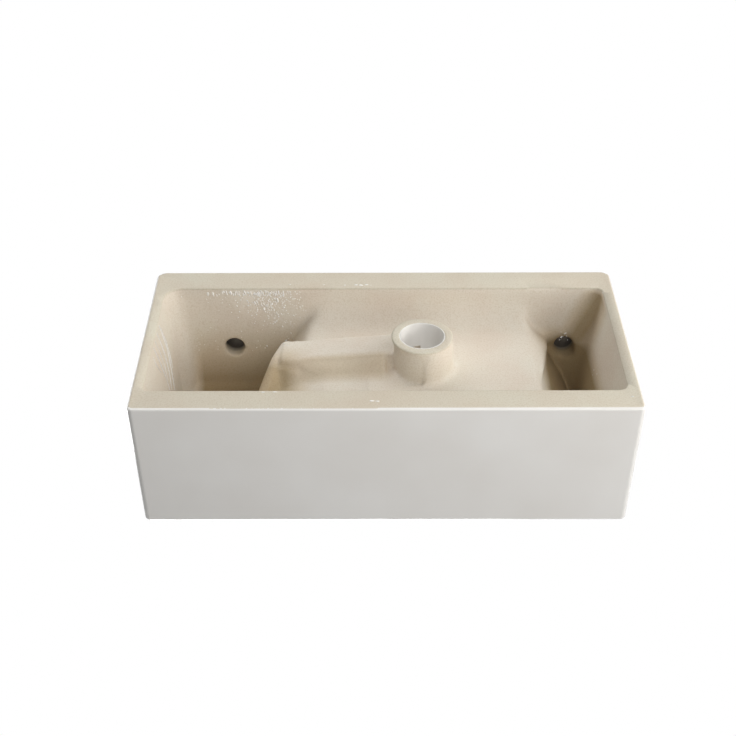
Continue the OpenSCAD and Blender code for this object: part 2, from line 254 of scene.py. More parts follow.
# %% Floor
FLOOR_SIDE, FLOOR_GAP = 40.0, 0.2 * MM
floor_finish, tree = new_finish("pale_floor")
path = add_node(tree, "ShaderNodeLightPath")
side = add_node(tree, "ShaderNodeNewGeometry")
from_above = add_node(tree, "ShaderNodeMath", {0: 1.0, 1: side.outputs["Backfacing"]}, operation="SUBTRACT")
shown = add_node(
    tree, "ShaderNodeMath", {0: path.outputs["Is Camera Ray"], 1: from_above.outputs[0]}, operation="MULTIPLY"
)
clear = add_node(tree, "ShaderNodeBsdfTransparent")
matt = add_node(tree, "ShaderNodeBsdfDiffuse", {"Color": paint("#f4f3f0")})
sheet = add_node(tree, "ShaderNodeMixShader", {0: shown.outputs[0], 1: clear.outputs[0], 2: matt.outputs[0]})
add_node(tree, "ShaderNodeOutputMaterial", {"Surface": sheet.outputs[0]})
bpy.ops.object.select_all(action="DESELECT")
bpy.ops.mesh.primitive_plane_add(size=FLOOR_SIDE, location=(0, 0, CAD_BOX[0][2] - FLOOR_GAP))
floor = bpy.context.active_object
floor.name = "floor"
bpy.ops.object.transform_apply(location=True, rotation=True, scale=True)
floor.data.materials.append(floor_finish)
print("floor at", round(floor.data.vertices[0].co.z / MM, 1), "mm")

# %% [markdown]
# ## Finishes
#
# Bisque is clay fired without glaze. It is matt and slightly gritty, warm beige, a little darker where
# the mould left it dense and paler where a sponge opened its surface. The two tones lie in clouds of 55
# mm. Grit is under half a millimetre and would vanish in the picture, so the grain is drawn at about 1.6
# mm.

# %% Bisque, its two tones and its grain
bisque, tree = new_finish("bisque_fired_clay")
on_piece = add_node(tree, "ShaderNodeTexCoord").outputs["Object"]
clouds = add_node(
    tree, "ShaderNodeTexNoise", {"Vector": on_piece, "Scale": 1 / (55 * MM), "Detail": 3.0, "Roughness": 0.55}
)
grain = add_node(
    tree, "ShaderNodeTexNoise", {"Vector": on_piece, "Scale": 1 / (1.6 * MM), "Detail": 2.0, "Roughness": 0.6}
)
tone = add_node(tree, "ShaderNodeValToRGB", {"Fac": clouds.outputs["Fac"]})
color_stops(tone, (0.3, "#dfd4c6"), (0.7, "#e3ddd0"))
speck = add_node(tree, "ShaderNodeValToRGB", {"Fac": grain.outputs["Fac"]})
color_stops(speck, (0.30, "#f3f0ea"), (0.55, "#ffffff"))
print("bisque nodes so far:", len(tree.nodes))

# %% [markdown]
# Painted shade darkens the clay where shade falls deep in the hollow, at its far end, beside the ridge, in
# the far corner and, more thinly, on the slope in front of the duct. The inside of the bolt holes is painted
# dark as shade, and the rim is greyer where it was ground flat. Each of these places is a mask that ramps
# make, and a ramp runs along a measure. The measures are the three axes, how far a point lies from a slanting
# plane through the far corner, and how far it lies from the axis of the nearer bolt hole.

# %% Measures on the clay
CORNER_X, CORNER_SLANT = -190 * MM, 0.45
axes = add_node(tree, "ShaderNodeSeparateXYZ", {"Vector": on_piece})
lean = add_node(
    tree, "ShaderNodeVectorMath", {0: on_piece, 1: (1, 0, -CORNER_SLANT)}, operation="DOT_PRODUCT"
)
aside = add_node(tree, "ShaderNodeMath", {0: lean.outputs["Value"], 1: CORNER_X}, operation="SUBTRACT")
from_corner = add_node(tree, "ShaderNodeMath", {0: aside.outputs[0]}, operation="ABSOLUTE")
either_side = add_node(tree, "ShaderNodeMath", {0: axes.outputs["X"]}, operation="ABSOLUTE")
along = add_node(tree, "ShaderNodeMath", {0: either_side.outputs[0], 1: BOLT_OFFSET}, operation="SUBTRACT")
to_bolt = add_node(tree, "ShaderNodeCombineXYZ", {"X": along.outputs[0], "Z": axes.outputs["Z"]})
from_bolt = add_node(tree, "ShaderNodeVectorMath", {0: to_bolt.outputs[0]}, operation="LENGTH")
MEASURES = {
    "x": axes.outputs["X"],
    "y": axes.outputs["Y"],
    "z": axes.outputs["Z"],
    "from_corner": from_corner.outputs[0],
    "from_bolt": from_bolt.outputs["Value"],
}
print("measures:", list(MEASURES))

# %% Masks on the clay
# Each mask has its full share, and its ramps: a measure, where it starts from 0 and where it is 1, in mm
# The first five masks are painted shade, in_bolt_hole paints the shade inside the bolt holes, off_the_back
# keeps the painted shade off the bare back, and ground_rim is the rim's own grey
MASKS = {
    "deep": (1.0, [("z", -36, 52), ("x", 238, 222)]),
    "far_end": (1.0, [("x", -128, -150), ("z", -30, -6)]),
    "by_ridge": (0.9, [("x", 92, 122), ("x", 168, 152), ("y", -92, -128), ("y", -217, -209)]),
    "in_corner": (0.9, [("from_corner", 26, 4), ("y", -85, -45), ("z", -74, -68)]),
    "on_slope": (0.5, [("x", 8, 22), ("x", 135, 120), ("y", -112, -121), ("y", -152, -138)]),
    "off_the_back": (1.0, [("y", -18, -28)]),
    "in_bolt_hole": (1.0, [("from_bolt", 12.8, 11.8), ("y", -31, -22), ("y", 0, -2)]),
    "ground_rim": (1.0, [("z", -72.2, -73.8)]),
}
SHADED_PLACES = ("deep", "far_end", "by_ridge", "in_corner", "on_slope")
masks = {}
for name, (share, ramps) in MASKS.items():
    for measure, none_at, full_at in ramps:
        limits = {"From Min": none_at * MM, "From Max": full_at * MM}
        ramp = add_node(tree, "ShaderNodeMapRange", {"Value": MEASURES[measure], **limits})
        product = add_node(tree, "ShaderNodeMath", {0: share, 1: ramp.outputs[0]}, operation="MULTIPLY")
        share = product.outputs[0]
    masks[name] = share
# Painted shade: the strongest of the shade masks, kept off the bare back, darkens the clay towards a brown
# grey
deepest_shade = 0.0
for name in SHADED_PLACES:
    deeper_shade = add_node(tree, "ShaderNodeMath", {0: deepest_shade, 1: masks[name]}, operation="MAXIMUM")
    deepest_shade = deeper_shade.outputs[0]
painted_shade = add_node(tree, "ShaderNodeMath", {0: deepest_shade, 1: masks["off_the_back"]}, operation="MULTIPLY")
shade_tint = add_node(tree, "ShaderNodeValToRGB", {"Fac": painted_shade.outputs[0]})
color_stops(shade_tint, (0.0, "#ffffff"), (0.45, "#f0eadf"), (1.0, "#b8a98d"))
print("masks:", list(masks))

# %% [markdown]
# The colours lie over each other like washes: the speck and the painted shade multiply the clay's tone, the
# painted shade inside the bolt holes covers it, and the grey of the rim multiplies it once more. The sponge
# leaves waves of 12 mm and the grit a fine roughness, both far too low to model, so they are bumps in the
# finish.

# %% Bisque, its washes and its surface
# A Mix node takes its colours at 6 and 7 and gives the mixed colour at 2
clay_color = tone.outputs["Color"]
for share, wash, blend in (
    (1.0, speck.outputs["Color"], "MULTIPLY"),
    (1.0, shade_tint.outputs["Color"], "MULTIPLY"),
    # Painted shade: the inside of the bolt holes is covered with a dark brown
    (masks["in_bolt_hole"], paint("#4d453a"), "MIX"),
    (masks["ground_rim"], paint("#f0f0eb"), "MULTIPLY"),
):
    washed = add_node(
        tree, "ShaderNodeMix", {0: share, 6: clay_color, 7: wash}, data_type="RGBA", blend_type=blend
    )
    clay_color = washed.outputs[2]
sponge = add_node(tree, "ShaderNodeTexNoise", {"Vector": on_piece, "Scale": 1 / (12 * MM), "Detail": 2.0})
wave = add_node(
    tree, "ShaderNodeBump", {"Height": sponge.outputs["Fac"], "Strength": 0.35, "Distance": 0.4 * MM}
)
grit = add_node(
    tree,
    "ShaderNodeBump",
    {
        "Height": grain.outputs["Fac"],
        "Strength": 0.5,
        "Distance": 0.12 * MM,
        "Normal": wave.outputs["Normal"],
    },
)
clay = add_node(
    tree,
    "ShaderNodeBsdfPrincipled",
    {
        "Base Color": clay_color,
        "Roughness": 0.82,
        "IOR": 1.5,
        "Specular IOR Level": 0.3,
        "Normal": grit.outputs["Normal"],
    },
)
add_node(tree, "ShaderNodeOutputMaterial", {"Surface": clay.outputs[0]})
print(bisque.name, "has", len(tree.nodes), "nodes")

# %% [markdown]
# Sanitary glaze is a white glass, sprayed on the dry clay and fired with it. It runs smooth but never
# quite flat, so its reflections waver over a few centimetres. The white is slightly warm, and thinner and
# greyer in places.

# %% Vitreous glaze
glaze, tree = new_finish("vitreous_white_glaze")
on_piece = add_node(tree, "ShaderNodeTexCoord").outputs["Object"]
thickness = add_node(tree, "ShaderNodeTexNoise", {"Vector": on_piece, "Scale": 1 / (90 * MM), "Detail": 2.0})
tone = add_node(tree, "ShaderNodeValToRGB", {"Fac": thickness.outputs["Fac"]})
color_stops(tone, (0.3, "#e6e3de"), (0.7, "#eceae6"))
flow = add_node(tree, "ShaderNodeTexNoise", {"Vector": on_piece, "Scale": 1 / (35 * MM), "Detail": 1.0})
wave = add_node(
    tree, "ShaderNodeBump", {"Height": flow.outputs["Fac"], "Strength": 0.25, "Distance": 0.25 * MM}
)
glass = add_node(
    tree,
    "ShaderNodeBsdfPrincipled",
    {"Base Color": tone.outputs["Color"], "Roughness": 0.16, "IOR": 1.5, "Normal": wave.outputs["Normal"]},
)
add_node(tree, "ShaderNodeOutputMaterial", {"Surface": glass.outputs[0]})
print(glaze.name, "has", len(tree.nodes), "nodes")

# %% [markdown]
# The splashes are the same glaze, so thin that the clay warms it. They fired glossier than the sprayed
# faces.

# %% Splashed glaze
splash_glaze, tree = new_finish("splashed_thin_glaze")
on_piece = add_node(tree, "ShaderNodeTexCoord").outputs["Object"]
cover = add_node(tree, "ShaderNodeTexNoise", {"Vector": on_piece, "Scale": 1 / (3 * MM), "Detail": 2.0})
tone = add_node(tree, "ShaderNodeValToRGB", {"Fac": cover.outputs["Fac"]})
color_stops(tone, (0.35, "#f1eee8"), (0.65, "#fbfaf8"))
glass = add_node(
    tree, "ShaderNodeBsdfPrincipled", {"Base Color": tone.outputs["Color"], "Roughness": 0.12, "IOR": 1.5}
)
add_node(tree, "ShaderNodeOutputMaterial", {"Surface": glass.outputs[0]})
print(splash_glaze.name, "has", len(tree.nodes), "nodes")

# %% [markdown]
# The overflow ring is thin brass with bright chrome plating: a mirror with the faintest polishing haze.

# %% Chrome plate
chrome, tree = new_finish("polished_chrome_plate")
on_piece = add_node(tree, "ShaderNodeTexCoord").outputs["Object"]
polish = add_node(tree, "ShaderNodeTexNoise", {"Vector": on_piece, "Scale": 1 / (4 * MM), "Detail": 2.0})
haze = add_node(
    tree,
    "ShaderNodeMapRange",
    {"Value": polish.outputs["Fac"], "From Min": 0.3, "From Max": 0.7, "To Min": 0.06, "To Max": 0.13},
)
plate = add_node(
    tree,
    "ShaderNodeBsdfPrincipled",
    {"Base Color": paint("#cdcfd1"), "Metallic": 1.0, "Roughness": haze.outputs[0]},
)
add_node(tree, "ShaderNodeOutputMaterial", {"Surface": plate.outputs[0]})
print(chrome.name, "has", len(tree.nodes), "nodes")

# %% [markdown]
# Every piece that is made below is dressed in the same way: it gets one finish and a place on the basin's
# only body.

# %% Dress a piece
def dress(piece, finish):
    """Gives a piece one finish and its place on the only body."""
    piece.data.materials.clear()
    piece.data.materials.append(finish)
    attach(piece, "root")
    print(piece.name, "in", finish.name, "with", len(piece.data.polygons), "faces")


# %% [markdown]
# ## The clay body
#
# A slip-cast basin has no sharp inner corner: the castings are joined wet and sponged, so the boss, the
# duct and the walls flow into each other. The four clay solids are copied, carved and filled where the
# hand did so, and then remeshed into one even net, which is relaxed where the clay is soft. Points of
# these forms are in mm.

# %% Copies of the castings
CLAY = ("outer_shell", "bowl", "waste_boss", "overflow_duct")
shell_part, bowl_part, boss_part, duct_part = [copy_nodes(name + "_part", name) for name in CLAY]
print("castings:", [part.name for part in (shell_part, bowl_part, boss_part, duct_part)])

# %% [markdown]
# Most carvings and fills are solids between a lower and an upper outline. A filled circle with one corner
# for each point is extruded, and its corners are then moved to the two outlines. A carving is taken out
# of the clay with a Boolean modifier, as a loop tool takes out wet clay.

# %% A solid between two outlines
SOLID_START = 10 * MM
SOLID_RISE = 1 * MM


def solid_between(name, low, high):
    """A closed solid whose lower and upper outlines have the same number of points, in mm."""
    bpy.ops.object.select_all(action="DESELECT")
    bpy.ops.mesh.primitive_circle_add(vertices=len(low), radius=SOLID_START, fill_type="NGON")
    solid = bpy.context.active_object
    solid.name = name
    for vertex, point in zip(solid.data.vertices, low):
        vertex.co = Vector((point[0], point[1], 0)) * MM
    bpy.ops.object.mode_set(mode="EDIT")
    bpy.ops.mesh.select_all(action="SELECT")
    bpy.ops.mesh.extrude_region_move(TRANSFORM_OT_translate={"value": (0, 0, SOLID_RISE)})
    bpy.ops.object.mode_set(mode="OBJECT")
    for vertex in solid.data.vertices:
        here = vertex.co / MM
        nearest = min(range(len(low)), key=lambda i: abs(low[i][0] - here.x) + abs(low[i][1] - here.y))
        vertex.co = Vector(high[nearest] if vertex.co.z > SOLID_RISE / 2 else low[nearest]) * MM
    bpy.ops.object.mode_set(mode="EDIT")
    bpy.ops.mesh.select_all(action="SELECT")
    bpy.ops.mesh.normals_make_consistent(inside=False)
    bpy.ops.object.mode_set(mode="OBJECT")
    print("solid", name, "has", len(solid.data.vertices), "corners")
    return solid


# %% Carve with a solid
def carve(tool, *pieces):
    """Takes the tool's form out of the pieces, then drops the tool."""
    for piece in pieces:
        apply_modifier(piece, "BOOLEAN", operation="DIFFERENCE", object=tool, solver="EXACT")
    bpy.data.objects.remove(tool)


# %% [markdown]
# The bowl's underside falls away to the wall at its back corner, and it has a pocket in front of the duct
# that deepens towards the tap. Each tool starts in the open, below the clay, and cuts up into it.

# %% Carve the back corner and the pocket in front of the duct
RIM, OPEN_AIR = -75, -57
carve(
    solid_between(
        "back_corner",
        [(70, -79, RIM), (150, -79, RIM), (150, -18, RIM), (70, -18, RIM)],
        [(126, -79, -5), (150, -79, -5), (150, -18, -5), (126, -18, -5)],
    ),
    bowl_part,
)
carve(
    solid_between(
        "pocket",
        [(0, -109, OPEN_AIR), (82, -105, OPEN_AIR), (82, -210, OPEN_AIR), (0, -210, OPEN_AIR)],
        [(38, -146, -33.5), (82, -144, -33), (82, -208, -33), (38, -208, -33.5)],
    ),
    bowl_part,
    duct_part,
)
carve(
    solid_between(
        "pocket_end",
        [(80, -105, OPEN_AIR), (136, -101, OPEN_AIR), (163, -210, OPEN_AIR), (80, -210, OPEN_AIR)],
        [(80, -144, -33), (128, -142, -20), (146, -208, -16), (80, -208, -33)],
    ),
    bowl_part,
    duct_part,
)

# %% [markdown]
# Beside the duct the boss's face is undercut by a finger's stroke that fades out at both ends. Two arcs
# round the waste bore make its outline, and their radii meet at the ends.

# %% Undercut the boss's face beside the duct
STROKE_MIDDLE, STROKE_HALF = -18, 84
STROKE_STEPS = 18


def arc(middle, ends, height):
    """Points on an arc beside the waste bore whose radius runs from middle to ends, in mm."""
    points = []
    for i in range(STROKE_STEPS + 1):
        share = 2 * i / STROKE_STEPS - 1
        turn = math.radians(STROKE_MIDDLE + STROKE_HALF * share)
        radius = middle + (ends - middle) * share**2
        x, y = WASTE_X / MM + radius * math.cos(turn), WASTE_Y / MM + radius * math.sin(turn)
        points.append((x, y, height))
    return points


carve(
    solid_between(
        "undercut",
        arc(29.6, 32.0, -72) + arc(35.2, 32.1, -72)[::-1],
        arc(27.8, 31.8, -35) + arc(38.5, 32.0, -35)[::-1],
    ),
    bowl_part,
    duct_part,
    boss_part,
)

# %% [markdown]
# Clay is also added by hand: a wedge along the back wall, a flat crown on the duct, a ridge that rises at
# the duct's end and runs down to the front, a taper on the tap end's inner face and a flare under the
# bowl's other end. The ridge is a round bar along a curve, and the others are solids between two
# outlines.

# %% Fill by the walls, sharpen the duct and raise the ridge at its end
def tube(name, points, width):
    """A round bar of one width through points, all in mm, as a mesh."""
    curve = bpy.data.curves.new(name, "CURVE")
    curve.dimensions = "3D"
    curve.bevel_depth = width / 2 * MM
    curve.bevel_resolution = 6
    curve.use_fill_caps = True
    line = curve.splines.new("POLY")
    line.points.add(len(points) - 1)
    for knot, point in zip(line.points, points):
        knot.co = (*(v * MM for v in point), 1.0)
    bar = bpy.data.objects.new(name, curve)
    bpy.context.scene.collection.objects.link(bar)
    take(bar)
    bpy.ops.object.convert(target="MESH")
    return bpy.context.active_object


wall_patch = solid_between(
    "wall_patch",
    [(64, -33.5, -71), (134, -33.5, -71), (134, -27, -71), (64, -27, -71)],
    [(64, -36.2, -19), (134, -36.2, -19), (134, -27, -19), (64, -27, -19)],
)
duct_top = solid_between(
    "duct_top",
    [(-2, -84, -50.4), (126, -84.5, -40.8), (128, -120.5, -40.6), (-2, -121, -50.4)],
    [(-2, -79, -38), (126, -79, -28), (131, -129, -28), (-2, -129, -38)],
)
RIDGE_WIDTH = 12
RIDGE_LINE = [
    (119, -80, -33),
    (124.5, -84, -33),
    (131, -104, -33),
    (134, -114, -32),
    (139, -136, -29.5),
    (143, -153, -26),
    (150, -182, -22),
]
ridge = tube("ridge", RIDGE_LINE, RIDGE_WIDTH)
TAPER_LOW, TAPER_HIGH = -73, 52
TAPER_AT_RIM = [(260, -216), (256.3, -216), (256.3, -48), (243, -32.5), (243, -26), (260, -26)]
TAPER_AT_DECK = [(260, -216), (245, -216), (245, -62), (224, -32.5), (224, -26), (260, -26)]
end_taper = solid_between(
    "end_taper",
    [(x, y, TAPER_LOW) for x, y in TAPER_AT_RIM],
    [(x, y, TAPER_HIGH) for x, y in TAPER_AT_DECK],
)
FLARE_LINE = [
    (-132, -150, -33),
    (-145, -150, -32),
    (-149, -130, -31.5),
    (-155, -105, -29),
    (-161, -78, -23),
    (-166, -60, -16),
    (-168, -30, -8),
    (-132, -30, -33),
]
BOWL_SIDE, FLARE_INNER, FLARE_OUTER, FLARE_TOP = -133, -147, -151, 12
flare = solid_between(
    "flare",
    FLARE_LINE,
    [(FLARE_INNER if x > BOWL_SIDE else FLARE_OUTER, y, FLARE_TOP) for x, y, _ in FLARE_LINE],
)
print("fills:", [fill.name for fill in (wall_patch, duct_top, ridge, end_taper, flare)])

# %% [markdown]
# The parts are joined and remeshed with small voxels, which makes one closed net of even faces. It has no
# edges of the old solids in it, so it can be relaxed anywhere.

# %% One net for the fired clay
VOXEL = 1.3 * MM
take(shell_part)
for part in (bowl_part, boss_part, duct_part, wall_patch, duct_top, ridge, end_taper, flare):
    part.select_set(True)
bpy.ops.object.join()
body = bpy.context.active_object
body.name = body.data.name = "clay_body"
apply_modifier(body, "REMESH", mode="VOXEL", voxel_size=VOXEL, use_smooth_shade=True)
print("clay net:", len(body.data.polygons), "faces")

# %% [markdown]
# A wet sponge rounds the hollow, but not the knife-cut rim or the outer faces. The Smooth modifier does
# the same to a net, and a vertex group says how much of it each point takes. First the whole hollow is
# relaxed a little, and then five places in it that were worked more.

# %% Relax a net by shares
LEAST_SHARE = 0.01


def weigh(piece, share_at):
    """A vertex group that holds share_at(point), from 0 to 1, for each point of the net."""
    group = piece.vertex_groups.new(name="share")
    for vertex in piece.data.vertices:
        share = share_at(vertex.co)
        if share > LEAST_SHARE:
            group.add([vertex.index], share, "REPLACE")
    return group.name


def relax(piece, softness, width):
    """Smooths the net over about width, as far as softness says."""
    # Each round reaches one voxel further, but only as a random walk does, so the width is squared
    rounds = max(2, round(2 * (width / VOXEL) ** 2))
    apply_modifier(piece, "SMOOTH", factor=0.5, iterations=rounds, vertex_group=weigh(piece, softness))
    piece.vertex_groups.clear()


# %% Measures of where the clay is soft
def between(value, start, end):
    """0 at start, 1 at end, straight between them."""
    return min(1.0, max(0.0, (value - start) / (end - start)))


def from_waste(point):
    """How far a point lies from the axis of the waste bore."""
    return math.hypot(point.x - WASTE_X, point.y - WASTE_Y)


def above_rim(point):
    """How deep a point lies in the hollow, from the plane of the rim."""
    return point.z - CAD_BOX[0][2]


def from_outside(point):
    """How deep a point lies under the outer faces, apart from the underside."""
    (x0, y0, _), (x1, y1, z1) = CAD_BOX
    return min(point.x - x0, x1 - point.x, point.y - y0, y1 - point.y, z1 - point.z)


# %% Relax the hollow and the places worked more
# The distances over which the softness grows from 0 to 1, and what is left of it on the boss
BOSS_FACE, BOSS_FOOT = 33 * MM, 38 * MM
RIM_HARD, RIM_SOFT = 1.5 * MM, 9 * MM
WALL_HARD, WALL_SOFT = 4 * MM, 9 * MM
SHARE_ON_BOSS = 0.2


def inside_softness(point):
    """1 in the hollow, 0 at the trimmed rim and on the outer faces, and little on the boss."""
    off_boss = between(from_waste(point), BOSS_FACE, BOSS_FOOT)
    off_rim = between(above_rim(point), RIM_HARD, RIM_SOFT)
    off_walls = between(from_outside(point), WALL_HARD, WALL_SOFT)
    return off_rim * off_walls * (SHARE_ON_BOSS + (1 - SHARE_ON_BOSS) * off_boss)


FULL_WITHIN = 0.4


def near(spot, reach):
    """A softness that is 1 near a spot, in mm, and falls to 0 at its reach."""
    spot = Vector(spot) * MM
    return lambda point: between((point - spot).length, reach * MM, reach * MM * FULL_WITHIN)


SOFT_ALL_OVER = 3.6
# The middle of each place, its reach, and the width over which it is smoothed, in mm
SOFT_PLACES = {
    "back corner": ((104, -50, -46), 44, 11),
    "pocket": ((84, -140, -34), 62, 5),
    "front of the boss": ((4, -160, -38), 40, 6),
    "flare": ((-158, -60, -34), 60, 16),
    "tap end": ((236, -44, -30), 60, 6),
}
relax(body, inside_softness, SOFT_ALL_OVER * MM)
for name, (spot, reach, width) in SOFT_PLACES.items():
    relax(body, near(spot, reach), width * MM)
    print("relaxed the", name, "over", width, "mm")

# %% [markdown]
# The rim, the holes and the boss's face were trimmed with a knife, so they are wrapped back on to the
# sharp solids. There the clay then swells by a third of a millimetre into the glaze, so no dark gap shows
# between them.

# %% Trim the edges
TRIMMED_RIM, TRIMMED_WALL = 1.6 * MM, 2.4 * MM
BORE_EDGE, GLAZED_EDGE = 24.8 * MM, 3.2 * MM
SWELL = 0.35 * MM
sharp = copy_nodes("sharp_clay", *CLAY)


def trimmed(point):
    """1 at the rim and on the outer faces, 0 in the hollow."""
    return 1.0 if above_rim(point) < TRIMMED_RIM or from_outside(point) < TRIMMED_WALL else 0.0


def under_glaze(point):
    """1 where a coat of glaze lies on a trimmed edge."""
    (x0, y0, _), (x1, _, _) = CAD_BOX
    by_glazed_face = min(point.x - x0, x1 - point.x, point.y - y0) < GLAZED_EDGE
    return 1.0 if from_waste(point) < BORE_EDGE or by_glazed_face else 0.0


apply_modifier(
    body,
    "SHRINKWRAP",
    target=sharp,
    wrap_method="NEAREST_SURFACEPOINT",
    vertex_group=weigh(body, trimmed),
)
body.vertex_groups.clear()
bpy.data.objects.remove(sharp)
apply_modifier(body, "DISPLACE", strength=SWELL, mid_level=0.0, vertex_group=weigh(body, under_glaze))
body.vertex_groups.clear()
print("clay net after the trim:", len(body.data.polygons), "faces")

# %% [markdown]
# A fill can reach through the bowl's thin wall and show as a patch of clay in the glazed bowl. So the
# clay that lies close to the bowl's glaze sinks by a little over a millimetre, away from the coat. A tree
# of the coat's faces finds that clay quickly.

# %% Sink the clay under the bowl's glaze
CLOSE_TO_COAT, SINK = 2.4 * MM, 1.2 * MM
bowl_coat = copy_nodes("bowl_coat_probe", "bowl_glaze")
coat_points = [vertex.co.copy() for vertex in bowl_coat.data.vertices]
coat_faces = BVHTree.FromPolygons(coat_points, [list(face.vertices) for face in bowl_coat.data.polygons])


def below_bowl_glaze(point):
    """1 on the clay that the bowl's glaze covers."""
    return 1.0 if coat_faces.find_nearest(point, CLOSE_TO_COAT)[0] is not None else 0.0


apply_modifier(body, "DISPLACE", strength=-SINK, mid_level=0.0, vertex_group=weigh(body, below_bowl_glaze))
body.vertex_groups.clear()
bpy.data.objects.remove(bowl_coat)
print("the bowl's glaze has", len(coat_points), "points")

# %% [markdown]
# The net is far finer than its smooth places need. Decimate takes points out where the clay is nearly
# flat and keeps them where it curves, and the shading hides the larger faces.

# %% Thin the net and dress it
MOST_TRIANGLES = 185000
apply_modifier(body, "DECIMATE", ratio=min(1.0, MOST_TRIANGLES / (2 * len(body.data.polygons))))
print("clay body triangles:", sum(len(p.vertices) - 2 for p in body.data.polygons))
take(body)
bpy.ops.object.shade_smooth()
dress(body, bisque)
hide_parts(*CLAY)

# %% [markdown]
# ## The glaze coats
#
# The coats are thin solids that follow the clay. Their faces are kept, and only their shading is smoothed
# over the rounded corners. On the waste bore's long narrow faces the shading is weighted by their area as
# well.

# %% Glaze coats
SHARPEST_SMOOTHED = math.radians(32)
for node_name in ("shell_glaze", "bowl_glaze", "waste_bore_glaze"):
    coat = copy_nodes(node_name + "_coat", node_name)
    take(coat)
    bpy.ops.object.shade_smooth_by_angle(angle=SHARPEST_SMOOTHED)
    if node_name == "waste_bore_glaze":
        apply_modifier(coat, "WEIGHTED_NORMAL", keep_sharp=True)
    dress(coat, glaze)
    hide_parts(node_name)

# %% [markdown]
# The overflow ring is a small turned part that is pushed into its hole. Its solid has the right form
# already, so a copy of it gets smooth shading and chrome.

# %% Overflow ring
ring = copy_nodes("overflow_ring", "overflow_trim_ring")
take(ring)
bpy.ops.object.shade_smooth_by_angle(angle=SHARPEST_SMOOTHED)
dress(ring, chrome)
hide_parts("overflow_trim_ring")

# %% [markdown]
# ## Runs and splashes of glaze
#
# The glaze was sprayed, and some of it drifted into the open underside: a spray of droplets on the back
# wall, splashes over the bolt hole, and a fan of thin runs down one end wall. Each is a small raised body
# of the same glaze. A place is given by its point in the photograph, and a line of sight from the camera
# finds the clay that carries it.

# %% Find the clay behind a point of the picture
# The lens and the picture's centre, in points of the photograph
PICTURE_SIDE = 736
FOCAL = camera_data.lens / camera_data.sensor_width * PICTURE_SIDE
CENTRE = (PICTURE_SIDE / 2, PICTURE_SIDE / 2 + camera_data.shift_y * PICTURE_SIDE)
bpy.context.view_layer.update()


def on_clay(across, down):
    """Where the line of sight through a picture point meets the clay, and which way the clay faces there."""
    sight = LOOK + RIGHT * (across - CENTRE[0]) / FOCAL + PICTURE_UP * (CENTRE[1] - down) / FOCAL
    found, place, facing, _ = body.ray_cast(camera.location, sight.normalized())
    return (place, facing) if found else None


print("picture centre:", [round(v, 1) for v in CENTRE], "and focal length in its points:", round(FOCAL, 1))

# %% [markdown]
# One droplet is modelled, as a ball that is cut below its middle and pressed flat. Each copy is
# stretched, turned to the clay and moved in its own mesh.

# %% One droplet
DOME_CUT, DOME_FLATNESS = -0.2 * MM, 0.55


def droplet_model():
    """A low dome of glaze, 2 mm across, cut from a ball."""
    bpy.ops.object.select_all(action="DESELECT")
    bpy.ops.mesh.primitive_ico_sphere_add(subdivisions=2, radius=1 * MM)
    dome = bpy.context.active_object
    bpy.ops.object.mode_set(mode="EDIT")
    bpy.ops.mesh.select_all(action="SELECT")
    bpy.ops.mesh.bisect(plane_co=(0, 0, DOME_CUT), plane_no=(0, 0, 1), clear_inner=True, use_fill=True)
    bpy.ops.mesh.select_all(action="SELECT")
    bpy.ops.transform.resize(value=(1, 1, DOME_FLATNESS))
    bpy.ops.object.mode_set(mode="OBJECT")
    bpy.ops.object.shade_smooth()
    return dome


droplet = droplet_model()
chance = random.Random(7)
print("droplet faces:", len(droplet.data.polygons))


# %% A copy of the droplet on the clay
def drop_at(across, down, radius, stretch, slant):
    """A copy of the droplet on the clay: radius in mm, stretched along a slant in the picture."""
    hit = on_clay(across, down)
    if hit is None:
        return []
    place, facing = hit
    along = RIGHT * math.cos(slant) - PICTURE_UP * math.sin(slant)
    along = (along - facing * along.dot(facing)).normalized()
    side = facing.cross(along)
    turn = Matrix((along * stretch, side, facing)).transposed().to_4x4()
    drop = bpy.data.objects.new("drop", droplet.data.copy())
    drop.data.transform(Matrix.Translation(place) @ turn @ Matrix.Scale(radius, 4))
    bpy.context.scene.collection.objects.link(drop)
    return [drop]


# %% Join drops or runs into one piece
def join_pieces(name, parts):
    """Joins parts into one piece of glaze."""
    print(name, "from", len(parts), "parts")
    take(parts[0])
    for part in parts:
        part.select_set(True)
    bpy.ops.object.join()
    piece = bpy.context.active_object
    piece.name = piece.data.name = name
    dress(piece, splash_glaze)


# %% [markdown]
# The runs are thin beads. Each follows a line through a few points of the picture, laid on the wall. It
# swells towards its middle and thins out at its ends, and chance makes its width uneven.

# %% One run of glaze
RUN_STEP = 3
THINNEST = 0.35


def run_along(points, width):
    """A bead of glaze, width in mm, on the clay through these picture points."""
    path_points = []
    for (x0, y0), (x1, y1) in zip(points, points[1:]):
        steps = max(2, round(math.hypot(x1 - x0, y1 - y0) / RUN_STEP))
        path_points += [(x0 + (x1 - x0) * i / steps, y0 + (y1 - y0) * i / steps) for i in range(steps)]
    path_points.append(points[-1])
    hits = [hit for hit in (on_clay(*point) for point in path_points) if hit]
    curve = bpy.data.curves.new("run", "CURVE")
    curve.dimensions = "3D"
    curve.bevel_depth = width / 2 * MM
    curve.bevel_resolution = 2
    curve.use_fill_caps = True
    line = curve.splines.new("POLY")
    line.points.add(len(hits) - 1)
    for i, (place, _) in enumerate(hits):
        fullness = math.sin(math.pi * (0.12 + 0.8 * i / len(hits)))
        line.points[i].co = (*place, 1.0)
        line.points[i].radius = THINNEST + (1 - THINNEST) * fullness * chance.uniform(0.8, 1.15)
    run = bpy.data.objects.new("run", curve)
    bpy.context.scene.collection.objects.link(run)
    take(run)
    bpy.ops.object.convert(target="MESH")
    return bpy.context.active_object


